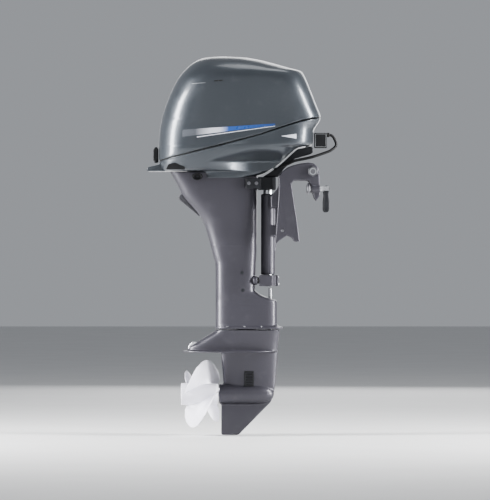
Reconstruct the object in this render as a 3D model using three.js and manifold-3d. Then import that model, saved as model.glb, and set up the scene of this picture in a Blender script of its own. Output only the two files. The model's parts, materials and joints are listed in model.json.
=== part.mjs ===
// Long-shaft transom-clamp outboard motor, 20 to 25 hp class.
// Frame: millimetres, +X towards the bow, +Y to port, +Z up.
// The origin is the transom seat under the clamp hooks, on the motor's centre plane.
import * as THREE from "three";
import { mergeVertices } from "three/addons/utils/BufferGeometryUtils.js";
import Module from "manifold-3d";

const wasm = await Module();
wasm.setup();
const group = new THREE.Group();

// Driving dimensions.
const TILT_X = 67; // tilt tube axis
const TILT_Z = 28;
const STEER_X = -75; // steering axis
const DRIVE_X = -145; // crankshaft and drive shaft axis
const SHIFT_X = -68; // shift rod
const PROP_Z = -680.5; // propeller shaft axis
const PROP_RADIUS = 109;
const HUB_RADIUS = 35;
const PLATE_Y = 77; // middle of each clamp bracket plate
const PLATE_THICK = 14;
const SCREW_Z = -26;
const SCREW_RADIUS = 6;
const SEAM = 1.5; // half of the gap between the two cowls
const WALL = 4; // cowl wall
const CASE_TOP = 28;
const CASE_FOOT = -473;
const PINION_RADIUS = 11.6;
const GEAR_RADIUS = 24;

// Finishes: colour, roughness, metalness.
const PAINT = ["#4b525a", 0.38, 0.45];
const CASE_PAINT = ["#56545c", 0.45, 0.4];
const DARK = ["#1d1f22", 0.55, 0.1];
const RUBBER = ["#141414", 0.85, 0];
const STEEL = ["#9a9ca0", 0.35, 0.9];
const ALLOY = ["#a8aaad", 0.5, 0.8];
const BRONZE = ["#a07a48", 0.45, 0.8];
const PROP_WHITE = ["#dcdce4", 0.3, 0.1];
const ZINC = ["#d5d7da", 0.6, 0.5];

// A closed three.js geometry as a solid, faces turned outwards.
function solid(geometry) {
  const flat = geometry.index ? geometry.toNonIndexed() : geometry.clone();
  flat.deleteAttribute("normal");
  flat.deleteAttribute("uv");
  const merged = mergeVertices(flat, 1e-3);
  const index = merged.index.array;
  const build = (flip) => {
    const kept = [];
    for (let i = 0; i < index.length; i += 3) {
      const [a, b, c] = [index[i], index[i + 1], index[i + 2]];
      if (a === b || b === c || a === c) continue;
      kept.push(a, flip ? c : b, flip ? b : c);
    }
    return new wasm.Manifold(
      new wasm.Mesh({
        numProp: 3,
        vertProperties: new Float32Array(merged.attributes.position.array),
        triVerts: new Uint32Array(kept),
      }),
    );
  };
  const made = build(false);
  return made.volume() < 0 ? build(true) : made;
}

function join(...parts) {
  return parts.reduce((a, b) => a.add(b));
}

function cut(body, ...tools) {
  return tools.reduce((a, b) => a.subtract(b), body);
}

function add(name, body, look) {
  const made = body.getMesh();
  const geometry = new THREE.BufferGeometry();
  geometry.setAttribute(
    "position",
    new THREE.BufferAttribute(new Float32Array(made.vertProperties), 3),
  );
  geometry.setIndex(new THREE.BufferAttribute(new Uint32Array(made.triVerts), 1));
  geometry.computeVertexNormals();
  const [color, roughness, metalness] = look;
  const material = new THREE.MeshStandardMaterial({ color, roughness, metalness });
  const mesh = new THREE.Mesh(geometry, material);
  mesh.name = name;
  group.add(mesh);
  return mesh;
}

function box(x0, x1, y0, y1, z0, z1) {
  const g = new THREE.BoxGeometry(x1 - x0, y1 - y0, z1 - z0);
  g.translate((x0 + x1) / 2, (y0 + y1) / 2, (z0 + z1) / 2);
  return solid(g);
}

// A flat outline pushed along one axis: (x, z) for "y", (x, y) for "z", (y, z) for "x".
function plate(outline, axis, from, to, bevel = 0) {
  const shape = new THREE.Shape(outline.map(([u, v]) => new THREE.Vector2(u, v)));
  const g = new THREE.ExtrudeGeometry(shape, {
    depth: to - from - 2 * bevel,
    bevelEnabled: bevel > 0,
    bevelThickness: bevel,
    bevelSize: bevel,
    bevelOffset: -bevel,
    bevelSegments: 1,
    steps: 1,
  });
  if (axis === "y") {
    g.translate(0, 0, -to + bevel);
    g.rotateX(Math.PI / 2);
  } else {
    g.translate(0, 0, from + bevel);
    if (axis === "x") {
      const turn = new THREE.Matrix4();
      turn.set(0, 0, 1, 0, 1, 0, 0, 0, 0, 1, 0, 0, 0, 0, 0, 1);
      g.applyMatrix4(turn);
    }
  }
  return solid(g);
}

// A turned body: profile is [radius, distance along the axis] from the point "at".
function turned(axis, at, profile, sides = 20) {
  const points = profile.map(([r, h]) => new THREE.Vector2(r, h));
  const g = new THREE.LatheGeometry(points, sides);
  if (axis === "z") g.rotateX(Math.PI / 2);
  if (axis === "x") g.rotateZ(-Math.PI / 2);
  g.translate(...at);
  return solid(g);
}

function rod(axis, at, length, radius, sides = 12, edge = 0) {
  const profile = [[0, 0], [radius - edge, 0]];
  if (edge) profile.push([radius, edge], [radius, length - edge]);
  else profile.push([radius, length]);
  if (edge) profile.push([radius - edge, length]);
  profile.push([0, length]);
  return turned(axis, at, profile, sides);
}

// A skin through closed rings of equal length, with a flat cap on each end.
function loft(rings) {
  const count = rings[0].length;
  const positions = rings.flat(2);
  const index = [];
  for (let r = 0; r + 1 < rings.length; r++)
    for (let i = 0; i < count; i++) {
      const a = r * count + i;
      const b = r * count + ((i + 1) % count);
      index.push(a, b, b + count, a, b + count, a + count);
    }
  const cap = (ring, first, flip) => {
    const mid = positions.length / 3;
    for (const k of [0, 1, 2]) {
      positions.push(ring.reduce((s, p) => s + p[k], 0) / count);
    }
    for (let i = 0; i < count; i++) {
      const a = first + i;
      const b = first + ((i + 1) % count);
      index.push(mid, flip ? b : a, flip ? a : b);
    }
  };
  cap(rings[0], 0, true);
  cap(rings[rings.length - 1], (rings.length - 1) * count, false);
  const g = new THREE.BufferGeometry();
  g.setAttribute("position", new THREE.Float32BufferAttribute(positions, 3));
  g.setIndex(index);
  return solid(g);
}

// One level outline: rounded rectangle from x0 (aft) to x1 (fore), squareness n.
function level(z, x0, x1, half, n = 3, count = 28, limit = () => 1e9) {
  const ring = [];
  const mid = (x0 + x1) / 2;
  const reach = (x1 - x0) / 2;
  for (let i = 0; i < count; i++) {
    const t = (2 * Math.PI * (i + 0.5)) / count;
    const c = Math.cos(t);
    const s = Math.sin(t);
    const x = mid + reach * Math.sign(c) * Math.abs(c) ** (2 / n);
    const wide = half * Math.abs(s) ** (2 / n);
    ring.push([x, Math.sign(s) * Math.min(wide, limit(x, z)), z]);
  }
  return ring;
}

function sweep(points, radius, sides = 8, steps = 24) {
  const path = new THREE.CatmullRomCurve3(points.map((p) => new THREE.Vector3(...p)));
  const round = new THREE.Shape();
  for (let i = 0; i < sides; i++) {
    const t = (2 * Math.PI * i) / sides;
    const x = radius * Math.cos(t);
    const y = radius * Math.sin(t);
    if (i) round.lineTo(x, y);
    else round.moveTo(x, y);
  }
  return solid(new THREE.ExtrudeGeometry(round, { steps, extrudePath: path, bevelEnabled: false }));
}

// ---- Cowls ----
// Cowl levels: height, aft end, fore end, half width, squareness of the plan.
const COWL = [
  [8.6, -284, -142, 62, 5],
  [20, -286, -94, 64, 5],
  [29.3, -300, -75, 66, 5],
  [29.4, -404, -75, 112, 4],
  [36, -417, -64, 128, 3.6],
  [48, -421, -45, 142, 3.4],
  [69, -422.5, -21, 156, 3.3],
  [92, -422.7, 4, 166, 3.3],
  [104, -422.7, 21, 170, 3.3],
  [114, -422.7, 66, 172, 3.4],
  [158, -419.7, 70.5, 176, 3.5],
  [187, -414.5, 88, 176, 3.5],
  [201, -411.8, 92.4, 175.5, 3.4],
  [248, -397, 75, 172, 3.3],
  [289, -379.5, 59, 167, 3.2],
  [328, -359, 43, 157, 3],
  [346, -345, 32, 148, 2.9],
  [357, -334, -4, 138, 2.8],
  [368, -323, -42, 124, 2.7],
  [378, -309, -78, 107, 2.6],
  [386, -293, -112, 86, 2.5],
  [391.5, -274, -147, 62, 2.4],
  [394.6, -240, -200, 28, 2.2],
];

// The underside stays narrow ahead of the casing, clear of the clamp brackets.
function waist(x, z) {
  const low = z < 60 ? 64 : 64 + (z - 60) * 3;
  return low + Math.max(0, -150 - x) * 0.9;
}

function cowlBody(inset) {
  const rings = [];
  COWL.forEach(([z, aft, fore, half, n], i) => {
    const down = i === COWL.length - 1 ? inset : inset * (z - 200) / 200;
    const rise = z < 60 ? 0 : Math.max(0, down);
    const limit = (x, at) => waist(x, at) - inset;
    rings.push(level(z - rise, aft + inset, fore - inset, half - inset, n, 24, limit));
  });
  return loft(rings);
}

// The line where the two cowls meet, aft to fore.
const PARTING = [
  [-520, 36],
  [-406.7, 66],
  [-355.7, 78.8],
  [-291.9, 94.7],
  [-228.1, 110.7],
  [-164.3, 126.6],
  [-100.5, 143.5],
  [-36.7, 164.9],
  [27.1, 185.7],
  [90.9, 199],
  [160, 210],
];

function seam(lower, upper, halfWidth = 300) {
  const under = PARTING.map(([x, z]) => [x, z + lower]);
  const over = PARTING.map(([x, z]) => [x, z + upper]).reverse();
  return plate([...under, ...over], "y", -halfWidth, halfWidth);
}

const aboveSeam = plate([...PARTING.map(([x, z]) => [x, z + SEAM]), [160, 500], [-520, 500]], "y", -300, 300);
const belowSeam = plate([[-520, -100], [160, -100], ...PARTING.map(([x, z]) => [x, z - SEAM]).reverse()], "y", -300, 300);
const outer = cowlBody(0);
const inner = cowlBody(WALL);
const floorCut = box(-500, 200, -300, 300, 33.5, 500);

const topCowl = cut(outer.intersect(aboveSeam), inner);
add("top_cowl", topCowl, PAINT);

const caseHole = box(-338, -104, -60.5, 60.5, -20, 60);
const rearLip = plate(
  [[-461, 33], [-458, 29.4], [-400, 29.4], [-400, 58], [-419, 56], [-421, 50], [-456, 42]],
  "y", -74, 74, 1.5,
);
const rearGrip = plate(
  [[-400, 33.6], [-336, 33.6], [-345, 52], [-372, 56], [-392, 52]],
  "y", -175, -112,
);
let bottomCowl = cut(outer.intersect(belowSeam), inner.intersect(floorCut), caseHole);
bottomCowl = cut(join(bottomCowl, cut(rearLip, inner)), rearGrip);
// Lugs that carry the latch pivot.
bottomCowl = join(bottomCowl, box(-437, -427, -25, -20.4, 44, 66), box(-437, -427, 20.4, 25, 44, 66));
add("bottom_cowl", bottomCowl, PAINT);

const sealBand = cowlBody(1.5).subtract(cowlBody(9));
add("cowl_seal", sealBand.intersect(seam(-SEAM + 0.3, SEAM - 0.3)), RUBBER);

// ---- Cowl latch ----
const latch = join(
  plate([[-441, 66], [-437, 57], [-428, 57], [-424.8, 61], [-424.8, 100], [-429, 107], [-436, 106], [-441, 98]], "y", -13, 13, 1.5),
  rod("y", [-432, -20, 62], 40, 4, 12),
);
add("cowl_latch_lever", latch, DARK);

// ---- Midsection casing ----
// Casing levels: height, aft end, fore end, half width, squareness.
const CASING = [
  [28, -387.6, -110, 58, 4],
  [-20, -361, -110, 58, 3.8],
  [-46, -349, -110, 57, 3.6],
  [-112, -294, -110, 54, 3.4],
  [-138, -279, -110, 52, 3.2],
  [-199, -260, -110.5, 48, 3],
  [-237, -250.5, -112, 46, 3],
  [-272, -242.4, -114, 45, 3],
  [-345, -241.8, -116.4, 45, 3],
  [-352, -241.8, -114, 45, 3],
  [-365, -241.8, -94, 45, 3.2],
  [-376, -241.8, -66, 45, 3.4],
  [-384, -241.8, -47.5, 45, 3.4],
  [CASE_FOOT + 7, -241.8, -46.3, 46, 3.4],
];

function casingBody(inset, top, foot) {
  const rings = CASING.map(([z, aft, fore, half, n], i) => {
    let height = z;
    if (i === 0) height = top;
    if (i === CASING.length - 1) height = foot;
    return level(height, aft + inset, fore - inset, half - inset, n, 14);
  });
  return loft(rings);
}

const casingSkin = cut(
  casingBody(0, CASE_TOP, CASE_FOOT + 6),
  casingBody(5, CASE_TOP + 20, CASE_FOOT - 20),
);
const footFlange = cut(
  loft([
    level(CASE_FOOT, -243, -27.1, 52, 3.4, 14),
    level(CASE_FOOT + 6.5, -243, -27.1, 52, 3.4, 14),
  ]),
  loft([
    level(CASE_FOOT - 5, -236, -54, 40, 3.2, 14),
    level(CASE_FOOT + 12, -236, -54, 40, 3.2, 14),
  ]),
);
let casing = join(casingSkin, footFlange);

// Sockets in the casing for the four rubber mounts and the exhaust outlet.
const MOUNT_Z = [-9, -318];
for (const z of MOUNT_Z)
  for (const side of [-1, 1]) {
    casing = join(casing, rod("x", [-122, side * 30, z], 13, 15, 12));
    casing = cut(casing, rod("x", [-126, side * 30, z], 40, 10.5, 12));
  }
casing = cut(
  casing,
  rod("y", [-300, -80, 12], 60, 9, 12),
  rod("z", [SHIFT_X, 0, -420], 80, 5.8, 12),
);
add("midsection_casing", casing, CASE_PAINT);

// Oval pilot outlet for cooling water on the starboard side.
const outletRing = cut(
  rod("y", [0, -63, 0], 12, 17, 18, 1.2).scale([1, 1, 0.68]),
  rod("y", [0, -64, 0], 5, 13, 18).scale([1, 1, 0.68]),
  rod("y", [0, -66, 0], 20, 4, 12),
);
add("exhaust_outlet", outletRing.translate([-300, -4.6, 12]).subtract(casing), DARK);

// ---- Gearcase ----
const HOUSING = [
  [-475, -240, -37.5, 48, 3.2],
  [-484, -252, -38.4, 46, 2.9],
  [-515, -302, -42, 42, 2.6],
  [-530, -327, -43, 41, 2.4],
  [-543, -335, -43.5, 40, 2.3],
];
const STRUT = [
  [-543, -226, -43.5, 27, 2.1],
  [-580, -223, -46, 23, 2],
  [-620, -219, -49.4, 20, 2],
  [-655, -217, -52, 19, 2],
  [-690, -217, -60, 12, 2],
];
const GRILLE = [-150, -121, -655, -607];

const levels = (rows, count) => rows.map(([z, a, b, h, n]) => level(z, a, b, h, n, count));
const ventPlate = loft([
  level(-546.5, -346, -52, 78, 2.5, 24),
  level(-541, -342, -54, 75, 2.5, 24),
]);
const torpedo = turned(
  "x",
  [0, 0, PROP_Z],
  [[0, -231], [31, -231], [32.7, -225], [32.7, -112], [31, -94], [26, -76], [18, -63], [9, -57], [0, -55.8]],
  20,
);
const skeg = plate(
  [[-224, -698], [-224, -811], [-169, -811], [-66, -706], [-60, -692], [-110, -698]],
  "y", -5, 5, 2,
);
let gearcase = join(loft(levels(HOUSING, 14)), loft(levels(STRUT, 14)), ventPlate, torpedo, skeg);
gearcase = cut(
  gearcase,
  rod("x", [-240, 0, PROP_Z], 128, 26.5, 18),
  rod("x", [-113, 0, PROP_Z], 40, 8.5, 12),
  rod("z", [DRIVE_X, 0, -690], 230, 8.8, 12),
  rod("z", [DRIVE_X, 0, -680], 30.5, 12.6, 14),
  rod("z", [SHIFT_X, 0, -674], 210, 5.8, 12),
  box(-334, -296, -11, 11, -541, -500),
  box(GRILLE[0] - 1, GRILLE[1] + 1, 16, 40, GRILLE[2] - 1, GRILLE[3] + 1),
  box(GRILLE[0] - 1, GRILLE[1] + 1, -40, -16, GRILLE[2] - 1, GRILLE[3] + 1),
);
add("gearcase", gearcase, CASE_PAINT);

for (const side of [-1, 1]) {
  const near = side < 0 ? -22.5 : 16.5;
  let grille = box(GRILLE[0], GRILLE[1], near, near + 6, GRILLE[2], GRILLE[3]);
  for (let i = 0; i < 5; i++) {
    const z = GRILLE[2] + 5 + i * 8.6;
    grille = cut(grille, box(GRILLE[0] + 4, GRILLE[1] - 4, near - 1, near + 7, z, z + 4));
  }
  add(side < 0 ? "water_intake_starboard" : "water_intake_port", grille, DARK);
}
add(
  "anode",
  plate([[-329, -540.4], [-297, -540.4], [-297, -522], [-303, -514.5], [-318, -514.5], [-329, -528]], "y", -10, 10, 2),
  ZINC,
);

// ---- Drive train ----
const SHAFT_RADIUS = 7;
const PROP_SHAFT_RADIUS = 8;
const GEAR_GAP = 0.8;

// A bevel gear about local +Z: rows of [tip radius, root radius, height].
function bevelGear(teeth, rows) {
  return loft(
    rows.map(([tip, root, h]) => {
      const ring = [];
      for (let i = 0; i < teeth * 2; i++) {
        const t = (Math.PI * i) / teeth;
        const r = i % 2 ? root : tip;
        ring.push([r * Math.cos(t), r * Math.sin(t), h]);
      }
      return ring;
    }),
  );
}

const pinion = cut(
  join(
    bevelGear(13, [[7, 5.9, 14.4], [PINION_RADIUS, 9.4, 24]]),
    rod("z", [0, 0, 23.5], 6, 9.2, 12),
  ),
  rod("z", [0, 0, 10], 30, 5.3, 12),
).translate([DRIVE_X, 0, PROP_Z]);
add("pinion_gear", pinion, STEEL);

for (const ahead of [1, -1]) {
  const gear = cut(
    join(
      bevelGear(27, [[14.4, 13.4, 7 + GEAR_GAP], [GEAR_RADIUS, 22, PINION_RADIUS + GEAR_GAP]]),
      rod("z", [0, 0, 12], 9, 20, 18),
      rod("z", [0, 0, 20], 3.5, 14, 12),
    ),
    rod("z", [0, 0, 0], 12.6, 11, 12),
    rod("z", [0, 0, 0], 40, PROP_SHAFT_RADIUS + 0.4, 12),
  );
  const placed = gear.rotate([0, 90 * ahead, 0]).translate([DRIVE_X, 0, PROP_Z]);
  add(ahead > 0 ? "forward_gear" : "reverse_gear", placed, STEEL);
}

add(
  "dog_clutch",
  cut(
    rod("x", [DRIVE_X - 8.2, 0, PROP_Z], 16.4, 10, 12, 0.8),
    rod("x", [DRIVE_X - 20, 0, PROP_Z], 40, PROP_SHAFT_RADIUS + 0.4, 12),
  ),
  STEEL,
);
add(
  "bearing_carrier",
  cut(
    turned("x", [0, 0, PROP_Z], [[0, -230.7], [26.1, -230.7], [26.1, -222], [18, -220], [18, -196], [26.1, -194], [26.1, -170.5], [0, -170.5]], 18),
    rod("x", [-240, 0, PROP_Z], 80, PROP_SHAFT_RADIUS + 0.4, 12),
  ),
  ALLOY,
);
add("propeller_shaft", rod("x", [-350, 0, PROP_Z], 274.5, PROP_SHAFT_RADIUS, 12, 1.5), STEEL);
add("shift_rod", rod("z", [SHIFT_X, 0, -669], 327, 5, 12, 1), STEEL);
add(
  "drive_shaft",
  join(
    rod("z", [DRIVE_X, 0, PROP_Z + 16], 20, 5, 12),
    rod("z", [DRIVE_X, 0, PROP_Z + 30], 725, SHAFT_RADIUS, 12, 0.8),
  ),
  STEEL,
);

// ---- Water pump and pipes in the leg ----
let impeller = rod("z", [DRIVE_X, 0, -472], 17, 11, 12);
for (let i = 0; i < 6; i++)
  impeller = join(impeller, box(9, 22.5, -1.6, 1.6, -472, -455).rotate([0, 0, 60 * i + 15]).translate([DRIVE_X, 0, 0]));
impeller = cut(impeller, rod("z", [DRIVE_X, 0, -480], 40, SHAFT_RADIUS + 0.4, 12));
add("water_pump_impeller", impeller, RUBBER);

const TUBE_X = -186;
const pump = cut(
  join(
    turned("z", [DRIVE_X, 0, 0], [[0, -474.2], [33, -474.2], [33, -466], [29, -464], [29, -448], [22, -441], [0, -441]], 14),
    box(TUBE_X - 8, DRIVE_X - 20, -8, 8, -466, -449),
  ),
  rod("z", [DRIVE_X, 0, -480], 29, 24, 14),
  rod("z", [DRIVE_X, 0, -480], 60, SHAFT_RADIUS + 0.6, 12),
  rod("z", [TUBE_X, 0, -456], 20, 4.4, 12),
);
add("water_pump_housing", pump, DARK);
add("water_tube", rod("z", [TUBE_X, 0, -455.5], 476, 4, 10), ALLOY);
add(
  "exhaust_tube",
  cut(rod("z", [-214, 0, -425], 452.5, 15, 12), rod("z", [-214, 0, -430], 470, 12, 12)),
  ALLOY,
);

// ---- Propeller ----
const BLADES = 3;
const PITCH = -300; // axial advance in one turn, negative for a left-hand screw
const BLADE_X = -285; // middle of the blade root
const BLADE_ROWS = [
  // radius, half angle of the blade in degrees, thickness, aft rake
  [30, 50, 9, 0],
  [45, 61, 7, 0],
  [62, 66, 5.6, 0],
  [80, 66, 4.4, 0.5],
  [95, 60, 3.4, 1],
  [104, 46, 2.6, 1.5],
  [PROP_RADIUS - 0.3, 18, 1.8, 2],
];

function blade() {
  const across = 6;
  const rings = BLADE_ROWS.map(([r, half, thick, rake]) => {
    const ring = [];
    for (let k = 0; k < 2 * across; k++) {
      const back = k >= across;
      const u = -1 + (2 * (back ? 2 * across - k : k)) / across;
      const turn = (u * half * Math.PI) / 180;
      const t = thick * (0.16 + 0.84 * Math.sqrt(Math.max(0, 1 - u * u)));
      const side = Math.abs(u) === 1 ? 0 : back ? 0.5 : -0.5;
      const x = BLADE_X - rake + (PITCH * turn) / (2 * Math.PI) + side * t;
      ring.push([x, r * Math.sin(-turn), r * Math.cos(turn)]);
    }
    return ring;
  });
  return loft(rings);
}

let propeller = cut(
  turned("x", [0, 0, 0], [[0, -352], [34, -352], [HUB_RADIUS, -346], [33.5, -300], [33.5, -240], [31.5, -233.4], [0, -233.4]], 18),
  rod("x", [-360, 0, 0], 86, 29, 18),
);
propeller = join(propeller, rod("x", [-328, 0, 0], 60, 17, 12));
for (let i = 0; i < BLADES; i++) {
  const web = box(-322, -270, -2.5, 2.5, 14, 31).rotate([120 * i + 60, 0, 0]);
  propeller = join(propeller, web, blade().rotate([120 * i + 20, 0, 0]));
}
propeller = cut(
  propeller,
  rod("x", [-360, 0, 0], 140, PROP_SHAFT_RADIUS + 0.4, 12),
  rod("x", [-239, 0, 0], 10, 16, 14),
).translate([0, 0, PROP_Z]);
add("propeller", propeller, PROP_WHITE);

const ringOf = (x0, x1, radius, sides) =>
  cut(
    rod("x", [x0, 0, PROP_Z], x1 - x0, radius, sides, 0.6),
    rod("x", [x0 - 5, 0, PROP_Z], x1 - x0 + 10, PROP_SHAFT_RADIUS + 0.4, 12),
  );
add("thrust_washer", ringOf(-238.5, -233.2, 15.5, 14), BRONZE);
add("propeller_nut", ringOf(-344, -328.4, 13, 6), STEEL);

// ---- Clamp brackets ----
const PIN = [-29, -160];
const LOCK = [-10, 10]; // pivot of the tilt lock lever
const BRACKET = [
  [-41.5, -42], [-41.5, 8.6], [-30.3, 27.8], [-14.4, 40.5], [1.6, 47], [27, 53.3], [52.6, 56.5],
  [69, 54], [81.3, 44], [87.7, 28], [89.3, -49], [78.2, -65], [71.8, -55], [62.2, -23], [55.8, -4],
  [49.4, 0.3], [8, 0.3], [-1, -12], [3.2, -33], [14.4, -109], [25.5, -194], [9.6, -195.5],
  [1.6, -183], [-14.4, -175], [-39.9, -192], [-52.6, -205],
];
for (const side of [-1, 1]) {
  const y = side * PLATE_Y;
  let bracket = join(
    plate(BRACKET, "y", y - PLATE_THICK / 2, y + PLATE_THICK / 2, 2),
    rod("x", [61, y, SCREW_Z], 29, 13.5, 14, 1),
  );
  bracket = cut(
    bracket,
    rod("y", [TILT_X, y - 20, TILT_Z], 40, 11.5, 14),
    rod("x", [50, y, SCREW_Z], 50, SCREW_RADIUS + 0.5, 12),
    rod("y", [PIN[0], y - 20, PIN[1]], 40, 5.5, 12),
    rod("y", [LOCK[0], 60, LOCK[1]], 40, 4.5, 12),
  );
  const name = side < 0 ? "starboard" : "port";
  add("clamp_bracket_" + name, bracket, CASE_PAINT);

  const tube = (a, b) => rod("y", [TILT_X, Math.min(a, b), TILT_Z], Math.abs(b - a), 11.5, 12);
  const nut = rod("y", [TILT_X, side > 0 ? 84.5 : -94.5, TILT_Z], 10, 17, 6, 1);
  add("tilt_nut_" + name, cut(nut, tube(side * 80, side * 100)), STEEL);

  const pad = rod("x", [49.4, y, SCREW_Z], 8, 17, 18, 1.5);
  add("clamp_pad_" + name, pad, ALLOY);

  const pivot = [110, SCREW_Z];
  const screw = join(
    rod("x", [57.8, y, SCREW_Z], 41, SCREW_RADIUS, 12, 0.6),
    box(98.2, 99.9, y - 8.4, y + 8.4, SCREW_Z - 7, SCREW_Z + 7),
    box(98.2, 117, y - 8.4, y - 5.4, SCREW_Z - 7, SCREW_Z + 7),
    box(98.2, 117, y + 5.4, y + 8.4, SCREW_Z - 7, SCREW_Z + 7),
    rod("y", [pivot[0], y - 8, SCREW_Z], 16, 3, 10),
  );
  add("clamp_screw_" + name, screw, STEEL);

  const bar = [];
  for (let i = 0; i <= 8; i++) {
    const t = (Math.PI * i) / 8;
    bar.push([pivot[0] + 9.3 * Math.cos(t), pivot[1] + 9.3 * Math.sin(t)]);
  }
  bar.push([pivot[0] - 6.5, pivot[1] - 20], [pivot[0] - 9.3, pivot[1] - 40], [pivot[0] - 9.3, pivot[1] - 68]);
  bar.push([pivot[0] - 5, pivot[1] - 74.5], [pivot[0] + 5, pivot[1] - 74.5]);
  bar.push([pivot[0] + 9.3, pivot[1] - 68], [pivot[0] + 9.3, pivot[1] - 40], [pivot[0] + 6.5, pivot[1] - 20]);
  const handle = cut(plate(bar, "y", y - 5, y + 5, 1.5), rod("y", [pivot[0], y - 10, SCREW_Z], 20, 3.4, 10));
  add("clamp_handle_" + name, handle, DARK);
}
add(
  "tilt_tube",
  cut(rod("y", [TILT_X, -99, TILT_Z], 198, 11, 14), rod("y", [TILT_X, -110, TILT_Z], 220, 8, 12)),
  STEEL,
);
add(
  "trim_pin",
  join(rod("y", [PIN[0], -84, PIN[1]], 176, 5, 12, 0.6), rod("y", [PIN[0], 90, PIN[1]], 6, 9, 12, 1)),
  STEEL,
);
add(
  "tilt_lock_lever",
  join(
    plate([[-20, 1], [-2, -1], [2, 8], [-2, 18], [-16, 20], [-46, 44], [-56, 42], [-56, 34]], "y", 84.8, 90, 1),
    rod("y", [LOCK[0], 72, LOCK[1]], 20, 4, 12, 0.6),
  ),
  DARK,
);

// ---- Swivel bracket and steering ----
const ARM = [
  [-62, -88], [-42, -84], [-14, -40], [-9, 6], [0, 11], [50, 11], [60, 11], [76, 13], [85, 28],
  [76, 43], [60, 47], [40, 45], [8, 38], [-22, 20], [-38, -6], [-47, -28], [-62, -46],
];
let swivel = join(
  rod("z", [STEER_X, 0, -299.5], 257, 22.5, 18, 1.5),
  box(-66, -44, -66, 66, -86, -48),
  box(-70, -35.6, -22, 22, -176, -144),
  plate(ARM, "y", -66, -50, 1.5),
  plate(ARM, "y", 50, 66, 1.5),
  rod("y", [TILT_X, -66.5, TILT_Z], 133, 17, 14),
  plate([[-60, -88], [-40, -88], [-40, -150], [-60, -285]], "y", -6, 6),
);
swivel = cut(
  swivel,
  rod("z", [STEER_X, 0, -320], 300, 16, 14),
  rod("y", [TILT_X, -90, TILT_Z], 180, 11.5, 14),
);
add("swivel_bracket", swivel, CASE_PAINT);
add("steering_shaft", rod("z", [STEER_X, 0, -337], 347.5, 15, 14, 1), STEEL);

const block = cut(
  join(
    plate([[-107.5, -42], [-62, -42], [-50, -22], [-50, 22], [-62, 42], [-107.5, 42]], "z", -30, 11, 2),
    box(-107.5, -98, -68, 68, -26, 7),
    box(-146, -98, 59, 68, -26, 7),
    box(-146, -98, -68, -59, -26, 7),
  ),
  rod("z", [STEER_X, 0, -40], 70, 15.4, 14),
);
add("upper_mount_bracket", block, DARK);

const COVER = [[-17, -334], [-15, -336], [15, -336], [17, -334], [17, -302], [15, -300.3], [-15, -300.3], [-17, -302]];
const housing = cut(
  plate([[-103.7, -40], [-62, -40], [-52.6, -26], [-52.6, 26], [-62, 40], [-103.7, 40]], "z", -336, -300.3, 2),
  rod("z", [STEER_X, 0, -360], 80, 15.4, 14),
);
add("lower_mount_housing", join(housing, plate(COVER, "x", -54, -41.5, 2)), DARK);
for (const side of [-1, 1]) {
  const name = side < 0 ? "starboard" : "port";
  add("upper_mount_" + name, rod("x", [-121, side * 30, MOUNT_Z[0]], 13, 10, 12, 0.8), RUBBER);
  add("lower_mount_" + name, rod("x", [-121, side * 30, MOUNT_Z[1]], 16.8, 10, 12, 0.8), RUBBER);
}

const steeringArm = plate(
  [
    [-92, 11.5], [-75, 22], [-48, 40], [-22, 62.5], [3, 86], [19, 99.5], [62, 108.5], [68, 104], [68, 90],
    [62, 85], [11, 70], [-24, 38], [-43, 11.5],
  ],
  "y", -19, 19, 1.5,
);
add(
  "steering_arm",
  cut(steeringArm, cowlBody(-1.2), rod("z", [52, 0, 60], 80, 6, 12)),
  DARK,
);

// ---- Control cable and its box at the bow end ----
add(
  "cable_box",
  join(
    plate([[72.5, 106], [74, 104], [111, 104], [113, 106], [113, 150], [111, 152], [74, 152], [72.5, 150]], "y", -23, 23, 1.5),
    rod("x", [110, -12, 145.5], 9, 6, 10),
  ),
  DARK,
);
add(
  "control_cable",
  sweep(
    [
      [121.2, -12, 145.5], [130, -12.5, 142], [138, -14, 130], [142, -17, 112], [124, -22, 95.5],
      [97, -26, 85], [68, -28, 75.6], [40, -29, 69], [11, -29, 63], [-12, -27, 53], [-33, -24, 45.5],
    ],
    4.5, 8, 30,
  ),
  RUBBER,
);

// Carrying grip on the aft side of the leg.
const grip = plate(
  [[-357, -62], [-361, -54], [-357, -46], [-349, -44], [-342, -48], [-286, -96], [-282, -106], [-291, -114], [-297, -112]],
  "y", -15, 15, 2,
);
add("carrying_grip", cut(grip, casingBody(-0.4, CASE_TOP, CASE_FOOT)), DARK);

// ---- Powerhead ----
const holder = cut(
  plate([[-336, -48], [-326, -55], [-124, -55], [-114, -46], [-114, 46], [-124, 55], [-326, 55], [-336, 48]], "z", 28.5, 66, 2),
  rod("z", [DRIVE_X, 0, 0], 100, SHAFT_RADIUS + 0.6, 12),
);
add("engine_holder", holder, ALLOY);
add(
  "oil_pan",
  plate([[-340, 27.7], [-236, 27.7], [-236, -96], [-280, -96], [-325, -50]], "y", -38, 38, 2),
  ALLOY,
);
let cylinders = join(
  plate([[-300, -68], [-170, -70], [-160, -60], [-160, 60], [-170, 70], [-300, 68]], "z", 66.5, 272, 2),
  rod("z", [DRIVE_X, 0, 66.5], 205, 50, 20, 2),
);
cylinders = cut(
  cylinders,
  rod("z", [DRIVE_X, 0, 60], 196, 30, 18),
  rod("z", [DRIVE_X, 0, 240], 50, 17, 12),
);
add("cylinder_block", cylinders, ALLOY);
add(
  "crankshaft",
  turned(
    "z",
    [DRIVE_X, 0, 0],
    [[0, 75], [16, 75], [16, 105], [28, 106], [28, 118], [14, 119], [14, 150], [28, 151], [28, 163], [16, 164],
      [16, 190], [28, 191], [28, 203], [14, 204], [14, 232], [28, 233], [28, 245], [16, 246], [16, 280], [12, 281],
      [12, 314], [0, 314]],
    12,
  ),
  STEEL,
);
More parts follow.
